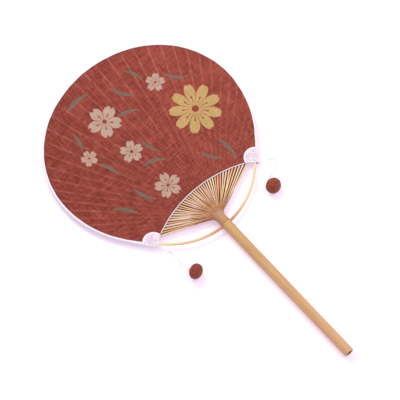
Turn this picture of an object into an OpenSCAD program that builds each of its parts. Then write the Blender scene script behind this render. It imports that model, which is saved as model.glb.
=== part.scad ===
// Round hand fan of split bamboo, lying on its back on a table.
// X runs across the blade, +Y points from the handle to the blade's tip, Z is up.
// The origin is on the table, under the middle of the fan's length.

/* [Handle] */
// Diameter of the bamboo handle
handle_d = 11.5; // [11:0.1:12.5]
// Length from the cut end of the handle to the foot of the head
handle_len = 199; // [170:1:240]
// Diameter of the hollow inside the handle
hollow_d = 6.8; // [5:0.1:8]
// Solid length left below the foot of the head
node_plug = 9; // [8:0.5:14]
// How much the handle swells just below the node ring
node_swell = 0.2; // [0.15:0.05:0.3]
// How far the swelling reaches below the foot of the head
swell_len = 14; // [12:0.5:16]
// How far the node ring stands out from the swelling
ring_h = 0.2; // [0.1:0.05:0.5]
// Depth of the node ring below the foot of the head
ring_drop = 2; // [1.8:0.1:2.2]

/* [Blade] */
// Mean radius of the blade
blade_r = 113.7; // [112:0.1:116]
// How far the blade's sides stand out past its mean radius
blade_widen = 2.1; // [0:0.1:3]
// How far the blade's shoulders stand out past its mean radius
blade_shoulder = 2.1; // [0:0.1:3]
// Height of the blade's middle above the foot of the head
blade_up = 115.65; // [114:0.05:118]
// Height of the window's top edge above the foot of the head
window_up = 47.1; // [46:0.1:50]
// Radius of the window's top edge
window_r = 142; // [136:1:150]

/* [Ribs] */
// Front ribs on each side of the middle one
ribs_aside = 19; // [10:1:19]
// Angle from the middle rib to the outermost ones
rib_spread = 67; // [64:0.5:67.5]
// Width of a rib where it is widest
rib_w = 1.3; // [0.8:0.1:1.6]
// Thickness of a rib
rib_t = 0.7; // [0.5:0.05:0.8]
// Height of the point the ribs fan out from, above the foot of the head
fan_up = 5.9; // [5:0.1:7]
// Radius of the unsplit head around that point
head_r = 10.5; // [9.5:0.1:12]
// Thickness of the head where the ribs leave it
head_t = 8.8; // [6:0.1:10]

/* [Bow] */
// Diameter of the bow
bow_d = 3.2; // [2.2:0.1:3.4]
// Radius that the bow bends to
bow_r = 90.4; // [89:0.1:92]
// Depth of the bow's middle below the foot of the head
bow_drop = 4.6; // [4.6:0.1:5]

/* [Cloth and paper] */
// Thickness of a cloth cover
cover_t = 0.35; // [0.2:0.05:0.5]
// Thickness of the paper rim and ears
paper_t = 0.2; // [0.1:0.05:0.3]
// Width of the rim strip on the face of the cloth
rim_face = 1.3; // [0.8:0.1:3]
// How far the rim and the ears stand out past the cloth's edge
wrap = 1.1; // [0.5:0.1:1.4]
// Radius of the rounded ear patches
ear_r = 11.7; // [10.5:0.1:12.5]
// Diameter of the woven edging thread
thread_d = 1; // [0.6:0.1:1.2]

/* [Cords and balls] */
// Diameter of the cords
cord_d = 1; // [0.8:0.1:1]
// Diameter of the knots at the cords' ends
knot_d = 2.4; // [2:0.1:2.6]
// Diameter of the balls across their widest part
ball_d = 18; // [16:0.1:18.5]
// Thickness of the balls along the cord
ball_t = 12.8; // [11:0.1:13.2]
// Thickness of the cloth around the balls
ball_cloth = 0.8; // [0.5:0.1:1.5]

/* [Hidden] */
bamboo = [0.86, 0.66, 0.42];
pale_bamboo = [0.96, 0.79, 0.58];
red_cloth = [0.62, 0.30, 0.25];
white_paper = [0.94, 0.90, 0.93];
white_cord = [0.93, 0.91, 0.93];

// Running gap between pieces that only lie against each other
gap = 0.02;
// Half thicknesses of the blade's layers, from its mid-plane
cloth_z = rib_t + 2 * gap;
paper_z = cloth_z + cover_t;
skin_z = paper_z + paper_t;

// The cord's ends, in the part's frame
tie_x = 72.4;
tie_y = 8.8;
// Directions from each ball's middle to the pole where its cord goes in
left_pole = [-0.3, 0.905, -0.3];
right_pole = [-0.05, 0.8, -0.6];
// How far the knot's middle sits from the ball's middle
knot_reach = ball_t / 2 + 0.9;

left_route = [
    [-71.9, 7.8, 5.5], [-70.6, 6.2, 4.6], [-69.1, 4.4, 3.5], [-67.4, 2.5, 2.4],
    [-65.8, 0.5, 1.4], [-64.5, -1.7, 0.8], [-63.7, -4, 0.5], [-63.5, -6.5, 0.5],
    [-63.6, -9, 0.5], [-63.8, -11.5, 0.5], [-63.9, -14, 0.5], [-63.9, -16.4, 0.6],
    [-63.9, -18.8, 1], [-63.9, -21.2, 1.8], [-63.9, -23.5, 2.9], [-63.8, -25.8, 4.1],
    [-63.3, -28.1, 5.3], [-62.7, -30.6, 6.5]
];
right_route = [
    [73.4, 8.3, 5.5], [75.5, 8.3, 4.6], [77.7, 8.2, 3.5], [79.9, 8, 2.4],
    [82.1, 7.7, 1.4], [84.4, 7.1, 0.7], [86.4, 5.7, 0.5], [87.5, 3.4, 0.5],
    [87.4, 0.9, 0.5], [86.4, -1.4, 0.5], [84.8, -3.3, 0.5], [82.9, -4.8, 0.5],
    [80.6, -5.9, 0.5], [78.2, -6.7, 0.5], [75.7, -7.2, 0.5], [73.2, -7.5, 0.5],
    [70.7, -7.9, 0.5], [68.3, -8.6, 0.6], [66.5, -10.1, 1.3], [65.6, -12, 2.4],
    [65.2, -14, 3.7]
];

reach = blade_up + edge_r(0) + wrap;
ring_y = (handle_len - reach) / 2;
axis_z = handle_d / 2 + node_swell + ring_h;

function rib_name(i) = str("front_rib_", i < 10 ? "0" : "", i);
RIBS = [for (i = [1:2 * ribs_aside + 1]) rib_name(i)];

// Radius of the blade's edge at an angle from the tip
function edge_r(a) =
    blade_r - blade_widen * cos(2 * a) - blade_shoulder * cos(3 * a) + 0.35 * cos(4 * a);
function edge_at(a) = [edge_r(a) * sin(a), blade_up + edge_r(a) * cos(a)];

// The shoulder bends from the round edge to the corner under the ear
round_end = 126;
corner = [71.3, 24.6];
shoulder = [84.5, 41];
function bend(t) =
    (1 - t) * (1 - t) * edge_at(round_end) + 2 * t * (1 - t) * shoulder + t * t * corner;
right_bend = [for (t = [0.2:0.2:1]) bend(t)];
left_bend = [for (t = [1:-0.2:0.2]) [-bend(t)[0], bend(t)[1]]];
edge = concat(left_bend, [for (a = [-round_end:3:round_end]) edge_at(a)], right_bend);

// The edge moved outward, with the slope at each point taken from its neighbours
function unit(v) = v / norm(v);
function slope(i) = unit(edge[min(i + 1, len(edge) - 1)] - edge[max(i - 1, 0)]);
function edge_out(d) = [for (i = [0:len(edge) - 1]) edge[i] + d * [-slope(i)[1], slope(i)[0]]];
function backwards(list) = [for (i = [len(list) - 1:-1:0]) list[i]];

// Inner ends of the ears' straight cuts, on the window's edge
cut_x = 62.6;
cut_y = window_up - window_r + sqrt(window_r * window_r - cut_x * cut_x);
function blade_outline(d) = concat(edge_out(d), [[cut_x, cut_y], [-cut_x, cut_y]]);
ear_at = [72.4, 31];

// Where the ribs lie, how wide they are, and how they rise to the head
function rib_angle(i) =
    rib_spread * (1.13 * i / ribs_aside - 0.13 * pow(i / ribs_aside, 3));
function rib_pitch(i) =
    rib_spread / ribs_aside * (1.13 - 0.39 * pow(i / ribs_aside, 2)) * PI / 180;
function rib_width(i, r) = min(rib_w, 0.78 * rib_pitch(i) * r);
function head_rise(a) = (head_t / 2 - rib_t) * sqrt(max(0, 1 - pow(a / rib_spread, 2)));
function on_rib(a, r) = [r * sin(a), fan_up + r * cos(a)];

// Distance from the fanning point to the window's edge, and to the blade's edge
function ray_to_circle(a, up, r) =
    up * cos(a) + sqrt(r * r - pow(up * sin(a), 2));
function to_window(a) = ray_to_circle(a, window_up - window_r - fan_up, window_r);
function to_edge(a, r, tries) =
    tries == 0 ? r :
    let (p = on_rib(a, r), r_here = edge_r(atan2(p[0], p[1] - blade_up)))
    to_edge(a, ray_to_circle(a, blade_up - fan_up, r_here), tries - 1);

// Stations along a rib, each the distance out and the share of the head's rise left there
function rib_stations(a) =
    let (root = head_r - 0.9, window = to_window(a), tip = to_edge(a, 100, 4) - 2)
    [[root, 1], [root + 0.3 * (window - root), 0.52], [root + 0.65 * (window - root), 0.17],
     [window, 0], [tip, 0]];
function rib_ring(i, a, r, rise, side) =
    let (p = on_rib(a, r), w = rib_width(i, r) / 2, across = [cos(a), -sin(a)],
         low = gap + rise * head_rise(a), high = low + rib_t)
    [for (c = [[w, low], [w, high], [-w, high], [-w, low]])
        [p[0] + c[0] * across[0], p[1] + c[0] * across[1], side * c[1]]];

// Faces of a mesh swept through rings of n points, with strips across both ends
function sides(k, n) =
    [for (j = [0:n - 1]) let (a = k * n, b = a + n, m = (j + 1) % n)
        each [[a + j, b + j, b + m], [a + j, b + m, a + m]]];
function strip(a, n) =
    concat([[a, a + 1, a + n - 1]],
        [for (j = [1:1:n / 2 - 2]) each [[a + j, a + j + 1, a + n - j],
            [a + j + 1, a + n - j - 1, a + n - j]]],
        [[a + n / 2 - 1, a + n / 2, a + n / 2 + 1]]);
function turned(faces) = [for (f = faces) [f[2], f[1], f[0]]];
module swept(rings) {
    n = len(rings[0]);
    last = len(rings) - 1;
    points = [for (r = rings) each r];
    walls = [for (k = [0:last - 1]) each sides(k, n)];
    polyhedron(points, concat(walls, strip(0, n), turned(strip(last * n, n))));
}

// Rings of the head, from just inside the round culm to the arc that the ribs leave from
head_sides = 32;
head_start = fan_up - 2.4;
head_lap = 0.3;
head_step = 0.1;
function head_point(t, f) =
    let (r = handle_d / 2 - head_step, a = rib_spread * cos(f), tip = on_rib(a, head_r))
    [r * cos(f) + t * t * (tip[0] - r * cos(f)), head_start + t * (tip[1] - head_start),
     (r + t * (head_t / 2 - r)) * sin(f)];
function head_ring(t) =
    [for (j = [0:head_sides - 1]) head_point(t, -360 * j / head_sides)];

module lay() translate([0, ring_y, axis_z]) children();
module both_sides() {
    children();
    mirror([0, 0, 1]) children();
}
// Points the children's +Z along p
module aim(p) rotate([0, acos(p[2] / norm(p)), atan2(p[1], p[0])]) children();

module culm() {
    r = handle_d / 2;
    wide = r + node_swell;
    chamfer = 0.4;
    ring = ring_drop;
    rotate([90, 0, 0]) rotate_extrude($fn = 96) polygon([
        [0, -head_start - head_lap], [r, -head_start - head_lap], [r, ring - 2.2],
        [wide, ring - 1.2], [wide + ring_h, ring - 0.6], [wide + ring_h, ring],
        [wide, ring + 0.6], [wide, swell_len - 2],
        [r, swell_len], [r, handle_len - chamfer], [r - chamfer, handle_len],
        [hollow_d / 2, handle_len], [hollow_d / 2, node_plug], [0, node_plug]
    ]);
}

module handle() color(bamboo) lay() difference() {
    union() {
        culm();
        swept([for (t = [0:0.2:1]) head_ring(t)]);
    }
    translate([0, 0.1 - bow_drop, 0]) rotate([0, 90, 0])
        cylinder(d = bow_d + 0.5, h = 2 * handle_d, center = true, $fn = 48);
}

module bow() color(pale_bamboo) lay() {
    half_angle = 54;
    flat_from = 66.5;
    difference() {
        translate([0, bow_r - bow_drop, 0]) rotate([0, 0, 270 - half_angle])
            rotate_extrude(angle = 2 * half_angle, $fn = 180)
                translate([bow_r, 0]) circle(d = bow_d, $fn = 32);
        both_sides() for (s = [-1, 1]) translate([s * (flat_from + 10), 40, rib_t + 5])
            cube([20, 60, 10], center = true);
    }
}

module rib(i, side) {
    a = rib_angle(i);
    rings = [for (s = rib_stations(a)) rib_ring(i, a, s[0], s[1], side)];
    swept([for (r = rings) side > 0 ? backwards(r) : r]);
}
module front_rib(number) color(pale_bamboo) lay() rib(number - ribs_aside - 1, 1);
module back_ribs() color(bamboo) lay()
    for (i = [0.5 - ribs_aside:1:ribs_aside - 0.5]) rib(i, -1);

module edging() {
    r = window_r - thread_d / 2 - 0.1;
    half_angle = 25;
    translate([0, window_up - window_r, cloth_z + thread_d / 2 + gap])
        rotate([0, 0, 90 - half_angle]) rotate_extrude(angle = 2 * half_angle, $fn = 180)
            translate([r, 0]) circle(d = thread_d, $fn = 24);
}
module front_thread() color(white_cord) lay() edging();
module back_thread() color(white_cord) lay() mirror([0, 0, 1]) edging();

// The blade's full outline as a plate, with the window cut out
module plate(low, high, d = 0) difference() {
    translate([0, 0, low]) linear_extrude(high - low) polygon(blade_outline(d));
    translate([0, window_up - window_r, low - 1])
        cylinder(r = window_r, h = high - low + 2, $fn = 360);
}
module front_cover() color(red_cloth) lay() plate(cloth_z, paper_z);
module back_cover() color(red_cloth) lay() plate(-paper_z, -cloth_z);

module ear_disc(h) translate([ear_at[0], ear_at[1], 0])
    cylinder(r = ear_r, h = h, center = true, $fn = 72);
module ear() difference() {
    intersection() {
        ear_disc(4 * skin_z);
        plate(-skin_z, skin_z, wrap);
    }
    plate(-paper_z, paper_z);
}
module left_ear() color(white_paper) lay() mirror([1, 0, 0]) ear();
module right_ear() color(white_paper) lay() ear();

module rim_strip() color(white_paper) lay() difference() {
    translate([0, 0, -skin_z]) linear_extrude(2 * skin_z)
        polygon(concat(edge_out(wrap), backwards(edge_out(-rim_face))));
    translate([0, 0, -paper_z]) linear_extrude(2 * paper_z)
        polygon(concat(edge_out(0), backwards(edge_out(-2 * rim_face))));
    ear_disc(4 * skin_z);
    mirror([1, 0, 0]) ear_disc(4 * skin_z);
    cube([3 * blade_r, 2 * ear_at[1], 4 * skin_z], center = true);
}

module tie(side) color(white_cord) translate([side * tie_x, tie_y, axis_z])
    sphere(d = knot_d - 0.2, $fn = 32);
module left_tie() tie(-1);
module right_tie() tie(1);

// A cord swept through its route with eight flat sides
cord_sides = 8;
function heading(route, k) = unit(route[min(k + 1, len(route) - 1)] - route[max(k - 1, 0)]);
function cord_ring(route, k) =
    let (d = heading(route, k), u = unit(cross(d, [0, 0, 1])), v = cross(u, d))
    [for (j = [0:cord_sides - 1]) let (f = -360 / cord_sides * (j + 0.5))
        route[k] + cord_d / 2 * (cos(f) * u + sin(f) * v)];
module cord(route) color(white_cord)
    swept([for (k = [0:len(route) - 1]) cord_ring(route, k)]);
module left_cord() cord(left_route);
module right_cord() cord(right_route);

function knot_at(route) = route[len(route) - 1];
module knot(route) color(white_cord) translate(knot_at(route)) sphere(d = knot_d, $fn = 32);
module left_knot() knot(left_route);
module right_knot() knot(right_route);

// A flattened ball whose pole faces the knot, drawn in by a given depth
module round_form(shrink) rotate_extrude($fn = 72) polygon([
    for (s = [-90:10:90])
        [(ball_d / 2 - shrink) * cos(s), (ball_t / 2 - shrink) * sin(s)]
]);
module at_ball(route, pole)
    translate(knot_at(route) - knot_reach * unit(pole)) aim(pole) children();
module ball(route, pole) color(red_cloth) at_ball(route, pole) difference() {
    round_form(0);
    round_form(ball_cloth);
}
module filling(route, pole) color(white_paper) at_ball(route, pole)
    round_form(ball_cloth + 2 * gap);
module left_ball() ball(left_route, left_pole);
module right_ball() ball(right_route, right_pole);
module left_filling() filling(left_route, left_pole);
module right_filling() filling(right_route, right_pole);

handle();
bow();
back_ribs();
front_thread();
back_thread();
front_cover();
back_cover();
rim_strip();
left_ear();
right_ear();
left_tie();
right_tie();
left_cord();
right_cord();
left_knot();
right_knot();
left_ball();
right_ball();
left_filling();
right_filling();
for (i = [1:2 * ribs_aside + 1])
    front_rib(i);
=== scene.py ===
"""Looks of a round hand fan of split bamboo, dressed around its CAD model.

Lengths are millimetres in the fan's own frame, except where a comment names the part's frame:
X across the blade, Y from the foot of the head towards the blade's tip, Z up off the front face.
The function lay() turns them into the part's frame in metres.
"""
import math

import bpy
import numpy as np
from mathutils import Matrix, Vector


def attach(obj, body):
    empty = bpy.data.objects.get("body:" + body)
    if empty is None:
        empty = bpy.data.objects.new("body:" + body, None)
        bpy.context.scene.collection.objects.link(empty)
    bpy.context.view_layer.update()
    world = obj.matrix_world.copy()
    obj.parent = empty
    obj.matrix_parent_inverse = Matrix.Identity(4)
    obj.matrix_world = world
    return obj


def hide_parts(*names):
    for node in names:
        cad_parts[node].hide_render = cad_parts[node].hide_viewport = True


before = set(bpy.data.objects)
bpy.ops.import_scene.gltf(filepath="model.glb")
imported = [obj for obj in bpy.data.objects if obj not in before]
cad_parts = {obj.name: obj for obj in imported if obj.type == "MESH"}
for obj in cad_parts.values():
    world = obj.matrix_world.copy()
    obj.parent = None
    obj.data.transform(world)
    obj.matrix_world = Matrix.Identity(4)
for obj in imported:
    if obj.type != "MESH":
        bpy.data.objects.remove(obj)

# The foot of the head and the handle's axis, in the part's frame
FOOT_Y, AXIS_Z = -13.8, 6.15
FRAME_SHIFT = np.array([0, FOOT_Y, AXIS_Z])

# Handle: the outside, the hollow and the node ring's distance below the foot
HANDLE_R, HANDLE_LEN, HOLLOW_R, PLUG = 5.75, 199.0, 3.4, 9.0
RING_DROP = 2.0
HANDLE_SIDES = 312

# Head and ribs. The ribs fan out from a point FAN_UP above the foot
FAN_UP, HEAD_R, HEAD_T = 5.9, 10.5, 8.8
RIBS_ASIDE, RIB_SPREAD, RIB_W, RIB_T = 19, 67.0, 1.3, 0.7

# Blade: its middle, the window's top and radius, the lower corner and the curve down to it
BLADE_UP, WINDOW_UP, WINDOW_R = 115.65, 47.1, 142.0
CORNER, SHOULDER = np.array([71.3, 24.6]), np.array([84.5, 41.0])
CUT_X = 62.6
CUT_Y = WINDOW_UP - WINDOW_R + math.sqrt(WINDOW_R**2 - CUT_X**2)

# Bow: its radius, and how far its lowest point lies below the foot
BOW_R, BOW_DROP, BOW_HOLE_R = 90.4, 4.6, 1.85

# Cloth and ears
CLOTH_TOP, CLOTH_T = 1.09, 0.3
EAR_AT, EAR_R, WRAP = np.array([72.4, 31.0]), 11.7, 1.1

# Cords and balls
BALL_R, BALL_HALF = 9.0, 6.4
KNOT_REACH = BALL_HALF + 0.9

# The cords' routes, in millimetres in the part's frame, as the source gives them
LEFT_ROUTE = [
    (-71.9, 7.8, 5.5), (-70.6, 6.2, 4.6), (-69.1, 4.4, 3.5), (-67.4, 2.5, 2.4),
    (-65.8, 0.5, 1.4), (-64.5, -1.7, 0.8), (-63.7, -4, 0.5), (-63.5, -6.5, 0.5),
    (-63.6, -9, 0.5), (-63.8, -11.5, 0.5), (-63.9, -14, 0.5), (-63.9, -16.4, 0.6),
    (-63.9, -18.8, 1), (-63.9, -21.2, 1.8), (-63.9, -23.5, 2.9), (-63.8, -25.8, 4.1),
    (-63.3, -28.1, 5.3), (-62.7, -30.6, 6.5),
]
RIGHT_ROUTE = [
    (73.4, 8.3, 5.5), (75.5, 8.3, 4.6), (77.7, 8.2, 3.5), (79.9, 8, 2.4),
    (82.1, 7.7, 1.4), (84.4, 7.1, 0.7), (86.4, 5.7, 0.5), (87.5, 3.4, 0.5),
    (87.4, 0.9, 0.5), (86.4, -1.4, 0.5), (84.8, -3.3, 0.5), (82.9, -4.8, 0.5),
    (80.6, -5.9, 0.5), (78.2, -6.7, 0.5), (75.7, -7.2, 0.5), (73.2, -7.5, 0.5),
    (70.7, -7.9, 0.5), (68.3, -8.6, 0.6), (66.5, -10.1, 1.3), (65.6, -12, 2.4),
    (65.2, -14, 3.7),
]
TIE = (72.4, 8.8, AXIS_Z)
# The way each ball's gathered pole points
LEFT_POLE, RIGHT_POLE = (-0.3, 0.905, -0.3), (-0.05, 0.8, -0.6)

# The photograph's view. The point looked at, its distance and the picture's width are in metres
AZIMUTH, ELEVATION = math.radians(-41.82), math.radians(70.02)
AIM, DISTANCE, FIELD = (-0.00309, 0.02058, 0.0061), 9.0, 0.4254


def lay(points):
    """Millimetres in the fan's frame to metres in the part's frame."""
    return (np.asarray(points, float) + FRAME_SHIFT) / 1000


def around(count):
    """Equal angles of a full turn."""
    return np.arange(count) * 2 * math.pi / count


def walked(path):
    """Distance along a path at each of its points."""
    return np.concatenate([[0], np.cumsum(np.linalg.norm(np.diff(path, axis=0), axis=1))])


def side_name(side):
    return "left" if side < 0 else "right"


def unit(v):
    v = np.asarray(v, float)
    return v / np.linalg.norm(v, axis=-1, keepdims=True)


def ripple(x, seed, waves=5, low=0.4, high=3.0):
    """A smooth random wave of about unit height, the same for the same seed."""
    rng = np.random.default_rng(seed)
    x = np.asarray(x, float)
    total = np.zeros_like(x)
    for _ in range(waves):
        total += np.sin(x * rng.uniform(low, high) + rng.uniform(0, 2 * math.pi))
    return total / math.sqrt(waves)


def add_object(name, data):
    made = bpy.data.objects.new(name, data)
    bpy.context.scene.collection.objects.link(made)
    return made


# Camera

def add_aimed(data, way, far):
    """Puts a camera or lamp out from the point looked at, turned to face it."""
    made = add_object(data.name, data)
    made.location = Vector(AIM) + way * far
    made.rotation_euler = way.to_track_quat("Z", "Y").to_euler()
    return made


def add_camera():
    level = math.cos(ELEVATION)
    back = Vector((math.sin(AZIMUTH) * level, -math.cos(AZIMUTH) * level, math.sin(ELEVATION)))
    data = bpy.data.cameras.new("camera")
    data.lens = data.sensor_width * DISTANCE / FIELD
    data.clip_start, data.clip_end = 0.05, 50
    bpy.context.scene.camera = add_aimed(data, back, DISTANCE)


# Meshes

def make_piece(name, points, faces, material=None, **attributes):
    """A smooth-shaded mesh object, with named values kept at its vertices."""
    mesh = bpy.data.meshes.new(name)
    mesh.from_pydata(np.asarray(points, float).tolist(), [], faces)
    for key, values in attributes.items():
        values = np.asarray(values, np.float32)
        vector = values.ndim == 2
        made = mesh.attributes.new(key, "FLOAT_VECTOR" if vector else "FLOAT", "POINT")
        made.data.foreach_set("vector" if vector else "value", values.ravel())
    mesh.update()
    mesh.shade_smooth()
    if material:
        mesh.materials.append(material)
    return add_object(name, mesh)


def grid_faces(rows, columns, closed):
    """Quads of a grid of points. A closed grid joins its last column to its first."""
    faces = []
    for row in range(0, (rows - 1) * columns, columns):
        for j in range(columns if closed else columns - 1):
            a, b = row + j, row + (j + 1) % columns
            faces.append((a, b, b + columns, a + columns))
    return faces


def shifted(faces, by):
    """Faces that count their points from a later start."""
    return [tuple(i + by for i in face) for face in faces]


def tube_faces(rings, sides):
    """Quads of a tube, with a face across each end."""
    first = tuple(range(sides - 1, -1, -1))
    last = tuple(range((rings - 1) * sides, rings * sides))
    return [first] + grid_faces(rings, sides, True) + [last]


def joined(parts):
    """Several sets of points, faces and kept values as one."""
    faces, count = [], 0
    for points, part_faces, _ in parts:
        faces += shifted(part_faces, count)
        count += len(points)
    kept = {key: np.concatenate([part[2][key] for part in parts]) for key in parts[0][2]}
    return np.concatenate([part[0] for part in parts]), faces, kept


def crossways(path):
    """Two directions across a path at each point, carried along it without a twist."""
    path = np.asarray(path, float)
    ahead = unit(np.gradient(path, axis=0))
    side = np.cross(ahead[0], (0, 0, 1))
    if np.linalg.norm(side) < 0.1:
        side = np.cross(ahead[0], (0, 1, 0))
    sides = []
    for d in ahead:
        side = side - d * (side @ d)
        side = side / np.linalg.norm(side)
        sides.append(side)
    sides = np.array(sides)
    return sides, np.cross(ahead, sides)


def smooth_path(points, step):
    """Points about a step apart on a smooth curve through the given ones."""
    p = np.asarray(points, float)
    p = np.concatenate([[2 * p[0] - p[1]], p, [2 * p[-1] - p[-2]]])
    out = []
    for a, b, c, d in zip(p, p[1:], p[2:], p[3:]):
        n = max(1, round(np.linalg.norm(c - b) / step))
        for t in np.arange(n) / n:
            out.append(0.5 * (2 * b + (c - a) * t + (2 * a - 5 * b + 4 * c - d) * t * t
                              + (3 * b - a - 3 * c + d) * t**3))
    out.append(p[-2])
    return np.array(out)


def strands(path, count, lay_r, strand_r, pitch, sides):
    """Points, faces and values of strands twisted together along a path, in millimetres."""
    side, up = crossways(path)
    along, f = walked(path), around(sides)
    parts = []
    for k in range(count):
        phase = 2 * math.pi * (along / pitch + k / count)
        centre = path + lay_r * (np.cos(phase)[:, None] * side + np.sin(phase)[:, None] * up)
        a, b = crossways(centre)
        rings = centre[:, None] + strand_r * (
            np.cos(f)[None, :, None] * a[:, None] + np.sin(f)[None, :, None] * b[:, None])
        turned = np.tile(f, len(path))
        grain = np.stack([np.cos(turned), np.repeat(along, sides), np.sin(turned) + 7 * k], 1)
        parts.append((rings.reshape(-1, 3), tube_faces(len(path), sides), {"grain": grain}))
    return joined(parts)


def dress(piece, body, slot, *nodes):
    """Puts a piece on its body, in place of the CAD nodes that it stands for."""
    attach(piece, body)
    if nodes:
        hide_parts(*nodes)
    return piece


# Outline of the blade

def edge_r(a):
    return 113.7 - 2.1 * np.cos(2 * a) - 2.1 * np.cos(3 * a) + 0.35 * np.cos(4 * a)


def blade_edge():
    """The blade's edge from its left corner round the tip to its right corner."""
    a = np.radians(np.linspace(-126, 126, 169))
    round_part = np.stack([edge_r(a) * np.sin(a), BLADE_UP + edge_r(a) * np.cos(a)], 1)
    t = np.linspace(0, 1, 25)[1:, None]
    bend = (1 - t)**2 * round_part[-1] + 2 * t * (1 - t) * SHOULDER + t * t * CORNER
    return np.concatenate([bend[::-1] * [-1, 1], round_part, bend])


def inner_edge():
    """The window's edge and the straight cuts under the ears, from left to right."""
    x = np.linspace(-CUT_X, CUT_X, 121)
    arc = np.stack([x, WINDOW_UP - WINDOW_R + np.sqrt(WINDOW_R**2 - x**2)], 1)
    return np.concatenate([[CORNER * [-1, 1]], arc, [CORNER]])


def outward(edge):
    """Unit vectors pointing away from the blade at each point of its edge."""
    slope = unit(np.gradient(edge, axis=0))
    return np.stack([-slope[:, 1], slope[:, 0]], 1)


def reach_at(line, a):
    """Distance from the fanning point to a line around it, in the direction a."""
    dense = np.concatenate([line[:-1] + (line[1:] - line[:-1]) * t for t in (0, 0.25, 0.5, 0.75)])
    angle = np.arctan2(dense[:, 0], dense[:, 1] - FAN_UP)
    order = np.argsort(angle)
    far = np.hypot(dense[:, 0], dense[:, 1] - FAN_UP)
    return np.interp(a, angle[order], far[order])


# Ribs

def rib_angle(i):
    q = np.asarray(i, float) / RIBS_ASIDE
    return np.radians(RIB_SPREAD * (1.13 * q - 0.13 * q**3))


def rib_pitch(i):
    return np.radians(RIB_SPREAD / RIBS_ASIDE * (1.13 - 0.39 * (i / RIBS_ASIDE)**2))


def head_rise(a):
    return (HEAD_T / 2 - RIB_T) * np.sqrt(np.maximum(0, 1 - (a / math.radians(RIB_SPREAD))**2))


FRONT_INDEX = np.arange(-RIBS_ASIDE, RIBS_ASIDE + 1)
BACK_INDEX = FRONT_INDEX[:-1] + 0.5
FACES = {1: ("front", FRONT_INDEX), -1: ("back", BACK_INDEX)}


def rib_path(i, side):
    """Distance out, sideways drift and height of a rib's lower face, from root to tip."""
    a = rib_angle(i)
    window, tip = reach_at(inner_edge(), a), reach_at(blade_edge(), a) - 2
    rng = np.random.default_rng(int(1000 + 2 * i + 500 * side))
    root = HEAD_R - 0.9
    r = np.concatenate([
        root + (window - root) * np.linspace(0, 1, 15), np.linspace(window, tip, 13)[1:]])
    share = np.clip((r - root) / (window - root), 0, 1)
    rise = (1 - share)**1.75 * head_rise(a)
    drift = (rng.normal(0, 0.24) * np.sin(math.pi * share)
             + rng.normal(0, 0.15) * np.sin(2 * math.pi * share))
    lift = rng.uniform(-0.03, 0.06) * np.sin(math.pi * share)
    return a, r, drift, np.maximum(rise + lift, 0), rng


def make_rib(i, side):
    """Points and faces of one split rib with rounded edges, and the values kept on it."""
    a, r, drift, rise, rng = rib_path(i, side)
    root_share, free_share = 0.97, 0.62 if side > 0 else 0.97
    share = np.interp(r, [HEAD_R, HEAD_R + 6], [root_share, free_share])
    half = np.minimum(RIB_W, share * rib_pitch(i) * r) / 2
    half = half * (1 + 0.06 * ripple(r / 9, int(i * 2 + 90)))
    corner = 0.16
    across = np.array([1, 1, 1 - corner, 0.35, -0.35, -1 + corner, -1, -1, -1 + corner, 1 - corner])
    height = np.array([0.2, 0.72, 0.97, 1.0, 1.0, 0.97, 0.72, 0.2, 0.02, 0.02])
    crown = 0.06 * (1 - across**2) * (height > 0.5)
    u = half[:, None] * across + drift[:, None]
    low = 0.02 + rise[:, None]
    z = side * (low + RIB_T * (height + crown - 0.03))
    x = r[:, None] * math.sin(a) + u * math.cos(a)
    y = FAN_UP + r[:, None] * math.cos(a) - u * math.sin(a)
    points = np.stack([x, y, z], -1)
    if side < 0:
        points = points[:, ::-1]
        u, z = u[:, ::-1], z[:, ::-1]
    sides = len(across)
    run = np.broadcast_to(r[:, None] / 30, u.shape)
    grain = np.stack([u + 3.7 * i, run, z], -1)
    tone = rng.uniform(0, 1) + 0.12 * ripple(r / 12, int(i * 2 + 700), 3)
    tone = np.broadcast_to(np.clip(tone, 0, 1)[:, None], u.shape)
    # Faces towards the blade's middle, which the material darkens as painted shade between the ribs.
    inner = np.broadcast_to(height[::side] < 0.5, u.shape)
    kept = {"grain": grain.reshape(-1, 3), "tone": tone.ravel(), "inner": inner.ravel()}
    return points.reshape(-1, 3), tube_faces(len(r), sides), kept


def add_ribs(name, node, ribs, material):
    points, faces, kept = joined(ribs)
    dress(make_piece(name, lay(points), faces, material, **kept), "fan", "rib_bamboo", node)


def add_all_ribs(material):
    for number, i in enumerate(FRONT_INDEX, 1):
        node = f"front_rib_{number:02d}"
        add_ribs(node + "_strip", node, [make_rib(int(i), 1)], material)
    add_ribs("back_rib_strips", "back_ribs", [make_rib(float(i), -1) for i in BACK_INDEX], material)


# Handle

def culm_profile():
    """Radius of the handle at stations below the foot of the head, down to the cut end."""
    ring = np.array([-1.2, -0.95, -0.7, -0.5, -0.3, -0.1, 0.1, 0.3, 0.5, 0.8, 1.3, 2])
    below = np.concatenate([
        [-2.6, -1.4, -0.6, 0, 0.4], RING_DROP + ring, np.arange(5, 16, 1.5),
        np.arange(18, HANDLE_LEN - 4, 4),
        HANDLE_LEN - np.array([2, 0.8, 0.4, 0.15, 0])])
    past = below - RING_DROP
    swell = 0.2 / (1 + np.exp((below - 13) * 0.9)) * np.clip(past + 2.2, 0, 1)
    ridge = 0.2 * np.exp(-((past + 0.35) / 0.28)**2) + 0.09 * np.exp(-((past - 0.75) / 0.2)**2)
    scar = -0.1 * np.exp(-((past - 0.2) / 0.22)**2) - 0.07 * np.exp(-((past + 1.15) / 0.3)**2)
    end = -0.35 * np.clip((below - HANDLE_LEN + 0.5) / 0.5, 0, 1)**2
    return below, HANDLE_R + swell + ridge + scar + end


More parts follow.
